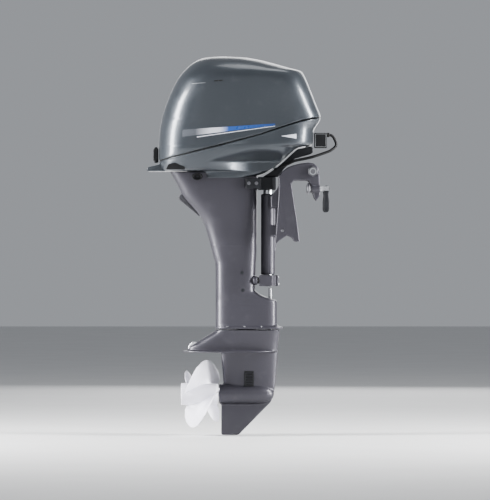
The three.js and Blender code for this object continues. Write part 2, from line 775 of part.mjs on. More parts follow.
add(
  "flywheel",
  cut(
    turned("z", [DRIVE_X, 0, 0], [[0, 282.5], [86, 282.5], [92, 286], [92, 304], [80, 307], [30, 307], [24, 302], [0, 302]], 24),
    rod("z", [DRIVE_X, 0, 270], 60, 12.4, 12),
  ),
  STEEL,
);
add(
  "flywheel_cover",
  cut(
    turned("z", [DRIVE_X, 0, 0], [[0, 278], [99, 278], [99, 312], [88, 324], [0, 324]], 20),
    turned("z", [DRIVE_X, 0, 0], [[0, 270], [96, 270], [96, 311], [86, 321], [0, 321]], 20),
  ),
  DARK,
);
add(
  "cylinder_head",
  join(
    plate([[-345, -58], [-300.5, -62], [-300.5, 62], [-345, 58]], "z", 74, 268, 3),
    plate([[-378, -36], [-368, -50], [-343, -52], [-343, 52], [-368, 50], [-378, 36]], "z", 82, 246, 3),
  ),
  ALLOY,
);
const runners = [-192, -112].map((x) => rod("y", [x, -102, 202], x < -150 ? 31.3 : 42, 13, 12));
add(
  "intake_silencer",
  cut(
    join(
      plate([[-236, 152], [-80, 152], [-68, 166], [-68, 240], [-84, 254], [-228, 254], [-236, 244]], "y", -144, -100, 4),
      runners[0],
      runners[1],
      box(-192, -112, -92, -84, 190, 214),
    ),
    rod("z", [DRIVE_X, 0, 100], 200, 50.5, 20),
  ),
  DARK,
);
add(
  "oil_filter",
  turned("y", [-215, 0, 130], [[0, 70.6], [20, 70.6], [20, 76], [31, 78], [31, 128], [26, 136], [0, 136]], 18),
  DARK,
);
add(
  "starter_motor",
  turned("z", [-62, 104, 0], [[0, 112], [22, 112], [27, 116], [27, 226], [22, 232], [12, 234], [12, 254], [0, 254]], 14),
  DARK,
);
export default group;
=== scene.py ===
"""Looks of a long-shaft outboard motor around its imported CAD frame. Metres, +X to the bow, +Y to port, +Z up."""

import json
import math

import bmesh
import bpy
from mathutils import Matrix, Vector


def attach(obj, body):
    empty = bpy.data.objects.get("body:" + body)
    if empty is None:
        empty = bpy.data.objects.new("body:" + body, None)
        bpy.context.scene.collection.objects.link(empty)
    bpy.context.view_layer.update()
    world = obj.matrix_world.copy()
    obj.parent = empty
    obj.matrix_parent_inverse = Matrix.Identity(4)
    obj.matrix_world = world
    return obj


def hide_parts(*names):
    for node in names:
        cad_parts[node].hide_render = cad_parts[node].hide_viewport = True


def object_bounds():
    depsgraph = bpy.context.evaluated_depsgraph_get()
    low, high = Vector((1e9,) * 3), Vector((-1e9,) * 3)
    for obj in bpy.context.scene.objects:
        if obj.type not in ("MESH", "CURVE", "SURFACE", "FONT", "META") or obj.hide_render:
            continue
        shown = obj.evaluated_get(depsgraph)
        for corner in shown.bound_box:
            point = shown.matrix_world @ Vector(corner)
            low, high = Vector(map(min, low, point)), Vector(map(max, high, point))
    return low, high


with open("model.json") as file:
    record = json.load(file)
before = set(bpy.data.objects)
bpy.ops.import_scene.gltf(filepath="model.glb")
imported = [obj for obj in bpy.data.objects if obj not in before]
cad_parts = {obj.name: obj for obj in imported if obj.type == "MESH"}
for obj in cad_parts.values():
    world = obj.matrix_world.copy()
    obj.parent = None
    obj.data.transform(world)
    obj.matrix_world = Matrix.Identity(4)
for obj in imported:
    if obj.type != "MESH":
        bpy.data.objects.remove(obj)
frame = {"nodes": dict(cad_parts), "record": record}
cad_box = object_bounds()
scene = bpy.context.scene
MM = 0.001
SIDES = ((-1, "starboard"), (1, "port"))
PLATE_MIDDLE = 77  # mm, middle of each clamp bracket plate

# ---- Camera: side view from starboard, long lens ----
VIEW_CENTRE = Vector((-0.1483, 0.0, -0.2211))
VIEW_HEIGHT = 1.595
CAMERA_FAR = 14.0
camera_data = bpy.data.cameras.new("camera")
camera = bpy.data.objects.new("camera", camera_data)
scene.collection.objects.link(camera)
camera_data.sensor_width = 36.0
camera_data.lens = 36.0 * CAMERA_FAR / VIEW_HEIGHT
camera_data.clip_end = 60.0
camera.location = VIEW_CENTRE + Vector((0.0, -CAMERA_FAR, 0.0))
camera.rotation_euler = (math.radians(90), 0.0, 0.0)
scene.camera = camera


# ---- Materials ----
class Nodes:
    """A short way to build one material's node tree."""

    def __init__(self, name):
        self.material = bpy.data.materials.new(name)
        self.material.use_nodes = True
        self.tree = self.material.node_tree
        self.shader = self.tree.nodes["Principled BSDF"]
        coords = self.tree.nodes.new("ShaderNodeTexCoord")
        self.place = coords.outputs["Object"]

    def new(self, kind, **values):
        node = self.tree.nodes.new(kind)
        for key, value in values.items():
            setattr(node, key, value)
        return node

    def link(self, a, b):
        self.tree.links.new(a, b)

    def noise(self, scale, detail=3.0, stretch=None, roughness=0.55):
        node = self.new("ShaderNodeTexNoise")
        node.inputs["Scale"].default_value = scale
        node.inputs["Detail"].default_value = detail
        node.inputs["Roughness"].default_value = roughness
        source = self.place
        if stretch:
            mapping = self.new("ShaderNodeMapping")
            mapping.inputs["Scale"].default_value = stretch
            self.link(self.place, mapping.inputs["Vector"])
            source = mapping.outputs["Vector"]
        self.link(source, node.inputs["Vector"])
        return node.outputs["Fac"]

    def ramp(self, source, stops):
        node = self.new("ShaderNodeValToRGB")
        ramp = node.color_ramp
        while len(ramp.elements) < len(stops):
            ramp.elements.new(0.5)
        for element, (at, value) in zip(ramp.elements, stops):
            element.position = at
            if not isinstance(value, tuple):
                value = (value, value, value)
            element.color = (*value, 1.0)
        self.link(source, node.inputs["Fac"])
        return node.outputs["Color"]

    def mix(self, a, b, factor, mode="MIX"):
        node = self.new("ShaderNodeMix", data_type="RGBA", blend_type=mode)
        for value, key in ((factor, 0), (a, 6), (b, 7)):
            if isinstance(value, (int, float)):
                node.inputs[key].default_value = value if key == 0 else (value, value, value, 1.0)
            elif isinstance(value, tuple):
                node.inputs[key].default_value = (*value, 1.0)
            else:
                self.link(value, node.inputs[key])
        return node.outputs[2]

    def bumps(self, *layers):
        """Each layer is (height source, strength, distance)."""
        last = None
        for source, strength, distance in layers:
            bump = self.new("ShaderNodeBump")
            bump.inputs["Strength"].default_value = strength
            bump.inputs["Distance"].default_value = distance
            self.link(source, bump.inputs["Height"])
            if last:
                self.link(last, bump.inputs["Normal"])
            last = bump.outputs["Normal"]
        self.link(last, self.shader.inputs["Normal"])

    def edges(self, low=0.52, high=0.62):
        """Brighter where the surface turns sharply outwards."""
        geometry = self.new("ShaderNodeNewGeometry")
        return self.ramp(geometry.outputs["Pointiness"], [(low, 0.0), (high, 1.0)])

    def set(self, **values):
        for key, value in values.items():
            self.shader.inputs[key.replace("_", " ")].default_value = value


def shade(colour, k):
    return tuple(min(1.0, c * k) for c in colour)


def metallic_paint(name, colour, metallic, rough, coat, flake=2600.0, grain=0.0):
    """Sprayed metallic paint: flake sparkle, faint mottling, orange peel and worn edges."""
    n = Nodes(name)
    cloud = n.ramp(n.noise(7.0, 4.0), [(0.3, shade(colour, 0.96)), (0.7, shade(colour, 1.05))])
    sparkle = n.ramp(n.noise(flake, 1.0), [(0.56, 0.0), (0.7, 0.4)])
    flaked = n.mix(cloud, shade(colour, 2.6), sparkle)
    dusty = n.ramp(n.noise(30.0, 6.0), [(0.58, 0.0), (0.85, 0.07)])
    marked = n.mix(flaked, (0.33, 0.33, 0.34), dusty)
    worn = n.mix(marked, shade(colour, 2.1), n.mix(0.0, 0.35, n.edges()))
    n.link(worn, n.shader.inputs["Base Color"])
    n.link(n.ramp(n.noise(16.0, 5.0), [(0.3, rough - 0.05), (0.75, rough + 0.09)]), n.shader.inputs["Roughness"])
    layers = [(n.noise(420.0, 2.0), 0.05, 0.0006)]
    if grain:
        layers.append((n.noise(900.0, 4.0), grain, 0.0008))
    n.bumps(*layers)
    n.set(Metallic=metallic, Coat_Weight=coat, Coat_Roughness=0.12)
    return n.material


def moulded(name, colour, rough=0.55, grain=0.25, scale=1500.0):
    """Moulded plastic or black-painted casting with a fine grain and scuffed edges."""
    n = Nodes(name)
    base = n.ramp(n.noise(22.0, 5.0), [(0.3, shade(colour, 0.8)), (0.72, shade(colour, 1.3))])
    scuffed = n.mix(base, shade(colour, 3.2), n.mix(0.0, 0.3, n.edges()))
    n.link(scuffed, n.shader.inputs["Base Color"])
    n.link(n.ramp(n.noise(45.0, 4.0), [(0.3, rough - 0.08), (0.75, rough + 0.1)]), n.shader.inputs["Roughness"])
    n.bumps((n.noise(scale, 3.0), grain, 0.0006), (n.noise(60.0, 2.0), 0.06, 0.001))
    n.set(Specular_IOR_Level=0.32)
    return n.material


def bare_metal(name, colour, rough=0.3, lines=(1.0, 1.0, 1.0), grain=0.1, scale=500.0):
    """Machined or cast metal: tool marks along one direction and stains."""
    n = Nodes(name)
    marks = n.noise(scale, 4.0, lines)
    base = n.ramp(marks, [(0.25, shade(colour, 0.82)), (0.75, shade(colour, 1.12))])
    stained = n.mix(base, shade(colour, 0.55), n.ramp(n.noise(35.0, 6.0), [(0.55, 0.0), (0.85, 0.5)]))
    n.link(stained, n.shader.inputs["Base Color"])
    n.link(n.ramp(n.noise(80.0, 4.0), [(0.3, rough - 0.06), (0.75, rough + 0.14)]), n.shader.inputs["Roughness"])
    n.bumps((marks, grain, 0.0005))
    n.set(Metallic=1.0)
    return n.material


COWL_PAINT = (0.050, 0.057, 0.066)
CASE_PAINT = (0.050, 0.048, 0.059)
cowl_paint = metallic_paint("cowl_paint", COWL_PAINT, 0.55, 0.33, 0.5)
case_paint = metallic_paint("case_paint", CASE_PAINT, 0.45, 0.42, 0.25, grain=0.08)
prop_paint = metallic_paint("propeller_paint", (0.84, 0.83, 0.90), 0.05, 0.33, 0.4)
dark_plastic = moulded("dark_plastic", (0.010, 0.0105, 0.012))
dark_metal = moulded("dark_metal", (0.015, 0.016, 0.019), 0.46, 0.18, 900.0)
rubber = moulded("rubber", (0.012, 0.012, 0.012), 0.78, 0.2, 700.0)
cable_sheath = moulded("cable_sheath", (0.014, 0.014, 0.015), 0.5, 0.12, 1200.0)
steel = bare_metal("steel", (0.56, 0.57, 0.59), 0.28, (1.0, 1.0, 9.0))
alloy = bare_metal("alloy", (0.48, 0.49, 0.50), 0.46, grain=0.35, scale=700.0)
bronze = bare_metal("bronze", (0.55, 0.38, 0.17), 0.35)
zinc = bare_metal("zinc", (0.74, 0.75, 0.77), 0.5, grain=0.4, scale=350.0)
SLOT_LOOKS = {
    "cowl_paint": cowl_paint,
    "case_paint": case_paint,
    "dark_plastic": dark_plastic,
    "dark_metal": dark_metal,
    "rubber": rubber,
    "steel": steel,
    "alloy": alloy,
    "bronze": bronze,
    "propeller_paint": prop_paint,
    "zinc": zinc,
    "cable_sheath": cable_sheath,
}
NODE_SLOT = {row["node"]: row["material_slot"] for row in frame["record"]["subparts"]}
BODY_OF = {node: body for body, nodes in frame["record"]["behaviour"]["bodies"].items() for node in nodes}


def mesh_object(name, vertices, faces, material, smooth=True):
    mesh = bpy.data.meshes.new(name)
    mesh.from_pydata([tuple(v) for v in vertices], [], faces)
    mesh.validate()
    mesh.materials.append(material)
    for polygon in mesh.polygons:
        polygon.use_smooth = smooth
    obj = bpy.data.objects.new(name, mesh)
    scene.collection.objects.link(obj)
    return obj


def finish_piece(obj, body, slot, *nodes):
    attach(obj, body)
    if nodes:
        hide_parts(*nodes)
    return obj


def recalc(obj):
    bm = bmesh.new()
    bm.from_mesh(obj.data)
    bmesh.ops.recalc_face_normals(bm, faces=bm.faces)
    bm.to_mesh(obj.data)
    bm.free()


def apply_modifiers(obj):
    graph = bpy.context.evaluated_depsgraph_get()
    made = bpy.data.meshes.new_from_object(obj.evaluated_get(graph))
    old = obj.data
    obj.modifiers.clear()
    obj.data = made
    bpy.data.meshes.remove(old)
    for polygon in made.polygons:
        polygon.use_smooth = True


def remeshed(obj, voxel, rounds=3, factor=0.6):
    """Melts the object's overlapping shells into one cast-looking skin with small fillets."""
    grid = obj.modifiers.new("grid", "REMESH")
    grid.mode = "VOXEL"
    grid.voxel_size = voxel
    if rounds:
        soft = obj.modifiers.new("soft", "SMOOTH")
        soft.iterations = rounds
        soft.factor = factor
    apply_modifiers(obj)
    return obj


def softened(node, voxel, rounds=3, material=None):
    """A copy of a CAD node with every edge rounded, in the node's place."""
    source = frame["nodes"][node]
    obj = bpy.data.objects.new(node + "_skin", source.data.copy())
    scene.collection.objects.link(obj)
    obj.matrix_world = source.matrix_world.copy()
    obj.data.transform(obj.matrix_world)
    obj.matrix_world = Matrix.Identity(4)
    bm = bmesh.new()
    bm.from_mesh(obj.data)
    bmesh.ops.remove_doubles(bm, verts=bm.verts, dist=1e-5)
    bm.to_mesh(obj.data)
    bm.free()
    obj.data.materials.clear()
    obj.data.materials.append(material or SLOT_LOOKS[NODE_SLOT[node]])
    remeshed(obj, voxel, rounds)
    return finish_piece(obj, BODY_OF[node], NODE_SLOT[node], node)


# ---- Smooth lofts from the same levels as the CAD shells (millimetres) ----
def curve_through(values):
    """Monotone cubic through equally spaced values: shape-preserving, so it never overshoots a level."""
    count = len(values)
    steps = [values[i + 1] - values[i] for i in range(count - 1)]
    slopes = [steps[0]]
    for a, b in zip(steps, steps[1:]):
        slopes.append(0.0 if a * b <= 0 else 2 * a * b / (a + b))
    slopes.append(steps[-1])

    def at(s):
        i = min(max(int(s), 0), count - 2)
        t = s - i
        h00, h10 = 2 * t**3 - 3 * t**2 + 1, t**3 - 2 * t**2 + t
        h01, h11 = -2 * t**3 + 3 * t**2, t**3 - t**2
        return h00 * values[i] + h10 * slopes[i] + h01 * values[i + 1] + h11 * slopes[i + 1]

    return at


class Shell:
    """A surface of level outlines: rows of height, aft end, fore end, half width, aft and fore squareness."""

    def __init__(self, rows, limit=None):
        self.parts = [curve_through([row[k] for row in rows]) for k in range(6)]
        self.last = len(rows) - 1
        self.limit = limit

    def row(self, s):
        return [part(s) for part in self.parts]

    def point(self, s, t):
        z, aft, fore, half, n_aft, n_fore = self.row(s)
        c, w = math.cos(t), math.sin(t)
        n = n_fore if c > 0 else n_aft
        side = n_aft + (n_fore - n_aft) * (0.5 + 0.5 * c)
        x = (aft + fore) / 2 + (fore - aft) / 2 * math.copysign(abs(c) ** (2 / n), c)
        y = half * abs(w) ** (2 / (0.5 * n + 0.5 * side))
        if self.limit:
            room = self.limit(x, z)
            knee = 0.85 * room
            if y >= knee:
                y = knee + 0.15 * room * math.tanh((y - knee) / (0.15 * room))
        return Vector((x, math.copysign(y, w), z)) * MM

    def y_at(self, x, z):
        """Half width of the surface at a place seen from the side."""
        low, high = 0.0, float(self.last)
        for _ in range(40):
            mid = (low + high) / 2
            if self.row(mid)[0] < z:
                low = mid
            else:
                high = mid
        turns = [i * math.pi / 720 for i in range(1, 720)]
        best = min((abs(self.point(low, t)[0] / MM - x), t) for t in turns)
        return abs(self.point(low, best[1])[1]) / MM


def angles(count):
    return [2 * math.pi * (i + 0.5) / count for i in range(count)]


def grid_faces(rows, count, closed=True):
    faces = []
    for r in range(rows - 1):
        for i in range(count if closed else count - 1):
            j = (i + 1) % count
            faces.append((r * count + i, r * count + j, (r + 1) * count + j, (r + 1) * count + i))
    return faces


def shell_mesh(name, shell, material, count=96, rows=60, caps=True):
    vertices = []
    for r in range(rows):
        s = shell.last * r / (rows - 1)
        vertices += [shell.point(s, t) for t in angles(count)]
    faces = grid_faces(rows, count)
    if caps:
        faces.append(tuple(range(count - 1, -1, -1)))
        faces.append(tuple((rows - 1) * count + i for i in range(count)))
    return mesh_object(name, vertices, faces, material)


# ---- Cowls ----
COWL = [
    (8.6, -284, -142, 62, 5, 5),
    (20, -286, -94, 64, 5, 5),
    (29.3, -300, -75, 66, 5, 5),
    (30.5, -404, -74, 112, 4, 4.5),
    (36, -417, -64, 128, 3.6, 4.2),
    (48, -421, -45, 142, 3.4, 4.0),
    (69, -422.5, -21, 156, 3.2, 4.0),
    (92, -422.7, 4, 166, 3.1, 4.2),
    (104, -422.7, 21, 170, 3.1, 4.4),
    (114, -422.7, 66, 172, 3.1, 4.6),
    (158, -419.7, 70.5, 175.5, 3.1, 4.8),
    (187, -414.5, 88, 175.2, 3.1, 4.8),
    (201, -411.8, 92.2, 174.8, 3.0, 4.8),
    (248, -397, 75, 171.5, 3.0, 4.6),
    (289, -379.5, 59, 166.5, 2.9, 4.4),
    (328, -359, 43, 156.5, 2.8, 4.0),
    (346, -345, 32, 147.5, 2.7, 3.6),
    (357, -334, -4, 138, 2.6, 3.2),
    (368, -323, -42, 124, 2.5, 2.9),
    (378, -309, -78, 107, 2.4, 2.7),
    (386, -293, -112, 86, 2.4, 2.5),
    (391.5, -274, -147, 62, 2.3, 2.4),
    (394.6, -240, -200, 28, 2.2, 2.2),
]
PARTING = [
    (-520, 36), (-406.7, 66), (-355.7, 78.8), (-291.9, 94.7), (-228.1, 110.7), (-164.3, 126.6),
    (-100.5, 143.5), (-36.7, 164.9), (27.1, 185.7), (90.9, 199), (160, 210),
]
SEAM = 1.6


def waist(x, z):
    low = 64 if z < 60 else 64 + (z - 60) * 3
    reach = max(0.0, -110 - x)
    return low + 0.95 * reach * reach / (reach + 70.0)


def parting_z(x):
    for (x0, z0), (x1, z1) in zip(PARTING, PARTING[1:]):
        if x <= x1:
            return z0 + (z1 - z0) * (x - x0) / (x1 - x0)
    return PARTING[-1][1]


cowl = Shell(COWL, waist)
COWL_COLUMNS = 144


def seam_level(t, offset):
    """Where a column of the cowl crosses the parting line, moved up or down by offset."""
    low, high = 3.0, 16.0
    for _ in range(30):
        mid = (low + high) / 2
        p = cowl.point(mid, t) / MM
        if p.z < parting_z(p.x) + offset:
            low = mid
        else:
            high = mid
    return (low + high) / 2


def cowl_half(name, upper, rows):
    """One cowl as a shell with a rolled rim along the parting line and a wall behind it."""
    count = COWL_COLUMNS
    start = [seam_level(t, SEAM if upper else -SEAM) for t in angles(count)]
    end = cowl.last if upper else 0.0
    rim = [(6.0, 0.0), (4.2, 0.0), (2.0, 0.15), (0.7, 0.9), (0.0, 2.2)]
    grid = []
    for inward, rise in rim:
        ring = []
        for t, s in zip(angles(count), start):
            p = cowl.point(s, t)
            centre = Vector((-0.165, 0.0, p.z))
            p = p + (centre - p).normalized() * inward * MM
            p.z += (rise if upper else -rise) * MM
            ring.append(p)
        grid.append(ring)
    for r in range(1, rows):
        k = r / (rows - 1)
        if r == 1:
            k = 0.6 / (rows - 1)
        reach = 0.006 + 0.994 * k
        grid.append([cowl.point(s + (end - s) * reach, t) for t, s in zip(angles(count), start)])
    vertices = [p for ring in grid for p in ring]
    faces = grid_faces(len(grid), count)
    faces.append(tuple((len(grid) - 1) * count + i for i in range(count)))
    inner = []
    for i in range(count):
        p = grid[0][i].copy()
        p.z += (0.02 if upper else -0.02)
        inner.append(p + (Vector((-0.165, 0.0, p.z)) - p).normalized() * 0.004)
    base = len(vertices)
    vertices += inner
    for i in range(count):
        j = (i + 1) % count
        faces.append((base + i, base + j, j, i))
    obj = mesh_object(name, vertices, faces, cowl_paint)
    recalc(obj)
    return obj


top = cowl_half("top_cowl_skin", True, 70)
finish_piece(top, "cover", "cowl_paint", "top_cowl")
bottom = cowl_half("bottom_cowl_skin", False, 46)


def turned(name, axis, at, profile, material, sides=48):
    """A lathe piece: profile of (radius, distance) in millimetres along axis from the point at."""
    vertices, faces = [], []
    for radius, along in profile:
        for i in range(sides):
            t = 2 * math.pi * i / sides
            u, v = radius * math.cos(t), radius * math.sin(t)
            local = {"x": (along, u, v), "y": (u, along, v), "z": (u, v, along)}[axis]
            vertices.append((Vector(at) + Vector(local)) * MM)
    faces = grid_faces(len(profile), sides)
    faces.append(tuple(range(sides)))
    faces.append(tuple((len(profile) - 1) * sides + i for i in range(sides)))
    obj = mesh_object(name, vertices, faces, material)
    recalc(obj)
    split_edges(obj)
    return obj


def split_edges(obj, angle=38.0):
    """Keeps hard corners crisp while the rest shades smooth."""
    bm = bmesh.new()
    bm.from_mesh(obj.data)
    sharp = [e for e in bm.edges if len(e.link_faces) == 2 and e.calc_face_angle(0.0) > math.radians(angle)]
    bmesh.ops.split_edges(bm, edges=sharp)
    bm.to_mesh(obj.data)
    bm.free()


def joined(name, parts, material):
    bm = bmesh.new()
    for part in parts:
        bm.from_mesh(part.data)
    mesh = bpy.data.meshes.new(name)
    bm.to_mesh(mesh)
    bm.free()
    mesh.materials.append(material)
    for part in parts:
        bpy.data.objects.remove(part, do_unlink=True)
    obj = bpy.data.objects.new(name, mesh)
    scene.collection.objects.link(obj)
    return obj


def rounded(outline, radius, steps=5):
    """The outline with each corner turned into a short arc."""
    points = []
    count = len(outline)
    for i, corner in enumerate(outline):
        here = Vector(corner)
        before = Vector(outline[i - 1]) - here
        after = Vector(outline[(i + 1) % count]) - here
        reach = min(radius, before.length * 0.45, after.length * 0.45)
        a = here + before.normalized() * reach
        b = here + after.normalized() * reach
        for k in range(steps + 1):
            t = k / steps
            points.append((1 - t) ** 2 * a + 2 * t * (1 - t) * here + t**2 * b)
    return points


def slab(name, outline, axis, low, high, material, radius=3.0, bevel=1.5, segments=3):
    """A flat outline given thickness, with rounded corners and bevelled rims, in millimetres."""
    points = rounded(outline, radius)
    place = {
        "x": lambda u, v, w: (w, u, v),
        "y": lambda u, v, w: (u, w, v),
        "z": lambda u, v, w: (u, v, w),
    }[axis]
    bm = bmesh.new()
    base = [bm.verts.new(Vector(place(p[0], p[1], low)) * MM) for p in points]
    face = bm.faces.new(base)
    made = bmesh.ops.extrude_face_region(bm, geom=[face])
    shift = (Vector(place(0, 0, high)) - Vector(place(0, 0, low))) * MM
    bmesh.ops.translate(bm, verts=[v for v in made["geom"] if isinstance(v, bmesh.types.BMVert)], vec=shift)
    bmesh.ops.recalc_face_normals(bm, faces=bm.faces)
    mesh = bpy.data.meshes.new(name)
    bm.to_mesh(mesh)
    bm.free()
    mesh.materials.append(material)
    obj = bpy.data.objects.new(name, mesh)
    scene.collection.objects.link(obj)
    if bevel:
        mod = obj.modifiers.new("rim", "BEVEL")
        mod.width = bevel * MM
        mod.segments = segments
        mod.limit_method = "ANGLE"
        mod.angle_limit = math.radians(50)
        mod.harden_normals = False
    apply_modifiers(obj)
    split_edges(obj, 50)
    return obj


lip = slab(
    "lip_raw",
    [(-461, 33), (-458, 29.4), (-400, 29.4), (-400, 58), (-419, 56), (-421, 50), (-456, 42)],
    "y", -74, 74, cowl_paint, 4.0, 2.0,
)
bottom = joined("bottom_cowl_skin", [bottom, lip], cowl_paint)
for polygon in bottom.data.polygons:
    polygon.use_smooth = True
finish_piece(bottom, "motor", "cowl_paint", "bottom_cowl")
for side, word in SIDES:
    # Hand-hold moulding under the aft edge of the bottom cowl; its black plastic is painted shade, where the shade
    # under the cowl's lip falls.
    y = 118.0
    hold = slab(
        f"hand_hold_painted_shade_{word}",
        [(-398, 33.6), (-338, 33.6), (-345, 50), (-372, 54), (-391, 50)],
        "y", min(side * y, side * (y + 14)), max(side * y, side * (y + 14)), dark_plastic, 3.0, 1.0,
    )
    finish_piece(hold, "motor", "cowl_paint")

# ---- Leg ----
CASING = [
    (28, -387.6, -110, 58, 4, 4),
    (-20, -361, -110, 58, 3.4, 4),
    (-46, -349, -110, 57, 3.1, 4),
    (-112, -294, -110, 54, 2.9, 3.8),
    (-138, -279, -110, 52, 2.8, 3.6),
    (-199, -260, -110.5, 48, 2.7, 3.4),
    (-237, -250.5, -112, 46, 2.7, 3.4),
    (-272, -242.4, -114, 45, 2.7, 3.4),
    (-345, -241.8, -116.4, 45, 2.7, 3.4),
    (-352, -241.8, -114, 45, 2.7, 3.4),
    (-365, -241.8, -94, 45, 2.7, 3.6),
    (-376, -241.8, -66, 45, 2.7, 3.8),
    (-384, -241.8, -47.5, 45, 2.7, 4),
    (-466.5, -241.8, -46.3, 46, 2.7, 4),
]
casing_shell = Shell(CASING)


def band(name, z, thick, grow, shell, level, material):
    """A thin raised band round the leg at one level."""
    rows = []
    for dz, out in ((-thick, 0.0), (-thick * 0.6, grow), (thick * 0.6, grow), (thick, 0.0)):
        ring = []
        for t in angles(96):
            p = shell.point(level, t)
            centre = Vector(((shell.row(level)[1] + shell.row(level)[2]) / 2 * MM, 0.0, p.z))
            p = p + (p - centre).normalized() * (out - 0.6) * MM
            p.z = (z + dz) * MM
            ring.append(p)
        rows += ring
    faces = grid_faces(4, 96)
    faces.append(tuple(range(96)))
    faces.append(tuple(3 * 96 + i for i in range(96)))
    obj = mesh_object(name, rows, faces, material)
    recalc(obj)
    return obj


def level_of(shell, z):
    low, high = 0.0, float(shell.last)
    falling = shell.row(0)[0] > shell.row(shell.last)[0]
    for _ in range(40):
        mid = (low + high) / 2
        above = shell.row(mid)[0] > z
        if above == falling:
            low = mid
        else:
            high = mid
    return low


casing = shell_mesh("casing_raw", casing_shell, case_paint, 112, 110)
foot = shell_mesh(
    "foot_raw",
    Shell([
        (-466, -243, -27.3, 52, 2.8, 4),
        (-467.5, -243.2, -27.1, 52.3, 2.8, 4),
        (-473, -243, -27.1, 52, 2.8, 4),
    ]),
    case_paint, 112, 6,
)
foot_fillet = shell_mesh(
    "fillet_raw",
    Shell([
        (-458, -241.8, -46.3, 46, 2.8, 4),
        (-463, -242.1, -42, 48, 2.8, 4),
        (-467, -242.8, -30, 51.5, 2.8, 4),
    ]),
    case_paint, 112, 10,
)
bands = [
    band("band_raw", z, 1.6, 1.1, casing_shell, level_of(casing_shell, z), case_paint)
    for z in (-206, -336, -395)
]
bosses = [
    turned("boss_raw", "x", (-122, side * 30, z), [(13, 0), (14.5, 1.5), (14.5, 11.5), (13, 13)], case_paint, 32)
    for side in (-1, 1) for z in (-9, -318)
]
leg = joined("midsection_skin", [casing, foot, foot_fillet, *bands, *bosses], case_paint)
remeshed(leg, 0.0019, 4, 0.55)
finish_piece(leg, "motor", "case_paint", "midsection_casing")

HOUSING = [
    (-475, -240, -37.5, 48, 3.0, 4),
    (-484, -252, -38.4, 46, 2.8, 3.8),
    (-500, -278, -40.2, 44, 2.7, 3.6),
    (-515, -302, -42, 42, 2.6, 3.4),
    (-530, -327, -43, 41, 2.4, 3.2),
    (-544, -336, -43.5, 40, 2.3, 3.0),
]
STRUT = [
    (-541, -227, -43.5, 28, 2.1, 2.1),
    (-560, -224.5, -44.6, 24.5, 2, 2.1),
    (-580, -223, -46, 22.5, 2, 2.1),
    (-620, -219, -49.4, 20, 2, 2.1),
    (-655, -217, -52, 19, 2, 2.1),
    (-690, -217, -60, 12, 2, 2),
]
PROP_Z = -680.5
housing = shell_mesh("housing_raw", Shell(HOUSING), case_paint, 96, 40)
strut = shell_mesh("strut_raw", Shell(STRUT), case_paint, 96, 50)
vent_plate = shell_mesh(
    "plate_raw",
    Shell([
        (-541, -342, -54, 74, 2.3, 2.4),
        (-542, -345, -52.5, 77, 2.3, 2.4),
        (-545.5, -346, -52, 78, 2.3, 2.4),
        (-546.6, -344, -53.5, 76.5, 2.3, 2.4),
    ]),
    case_paint, 96, 10,
)
torpedo = turned(
    "torpedo_raw", "x", (0, 0, PROP_Z),
    [(30.5, -231), (32, -229.5), (32.7, -224), (32.7, -180), (32.7, -130), (32.4, -112), (31.4, -99), (29.4, -88),
     (26.2, -77.5), (21.8, -69), (16.6, -62.5), (10.5, -58.2), (5, -56.3), (0.5, -55.8)],
    case_paint, 72,
)
skeg = slab(
    "skeg_raw",
    [(-224, -698), (-224.5, -811), (-169, -811), (-66, -706), (-60, -692), (-110, -698)],
    "y", -4.6, 4.6, case_paint, 6.0, 2.4,
)
rib_outline = [(-300, -541), (-280, -512), (-262, -496), (-240, -541)]
anti_rib = slab("rib_raw", rib_outline, "y", -3, 3, case_paint, 2.0, 0.8)
gearcase = joined("gearcase_skin", [housing, strut, vent_plate, torpedo, skeg, anti_rib], case_paint)
remeshed(gearcase, 0.0017, 7, 0.6)


def punch(obj, x0, x1, y0, y1, z0, z1):
    """Cuts a rectangular pocket."""
    tool = slab("cut", [(x0, z0), (x1, z0), (x1, z1), (x0, z1)], "y", y0, y1, dark_plastic, 2.0, 0.0)
    mod = obj.modifiers.new("pocket", "BOOLEAN")
    mod.operation = "DIFFERENCE"
    mod.solver = "EXACT"
    mod.object = tool
    apply_modifiers(obj)
    bpy.data.objects.remove(tool, do_unlink=True)


for side in (-1, 1):
    low, high = (16.5, 40) if side > 0 else (-40, -16.5)
    punch(gearcase, -151, -120, low, high, -656, -606)
punch(gearcase, -333, -296, -11, 11, -541, -505)
for polygon in gearcase.data.polygons:
    polygon.use_smooth = True
split_edges(gearcase, 45)
finish_piece(gearcase, "motor", "case_paint", "gearcase")

# ---- Propeller ----
BLADE_ROWS = [
    (29, 50, 10.5, 0),
    (34, 54, 8.6, 0),
    (45, 61, 7, 0),
    (62, 66, 5.6, 0),
    (80, 66, 4.4, 0.5),
    (95, 60, 3.4, 1),
    (104, 46, 2.6, 1.5),
    (107.4, 32, 2.1, 1.8),
    (108.6, 16, 1.8, 2),
]
PITCH = -300.0
BLADE_X = -285.0
ACROSS = 26
blade_rows = [curve_through([row[k] for row in BLADE_ROWS]) for k in range(4)]


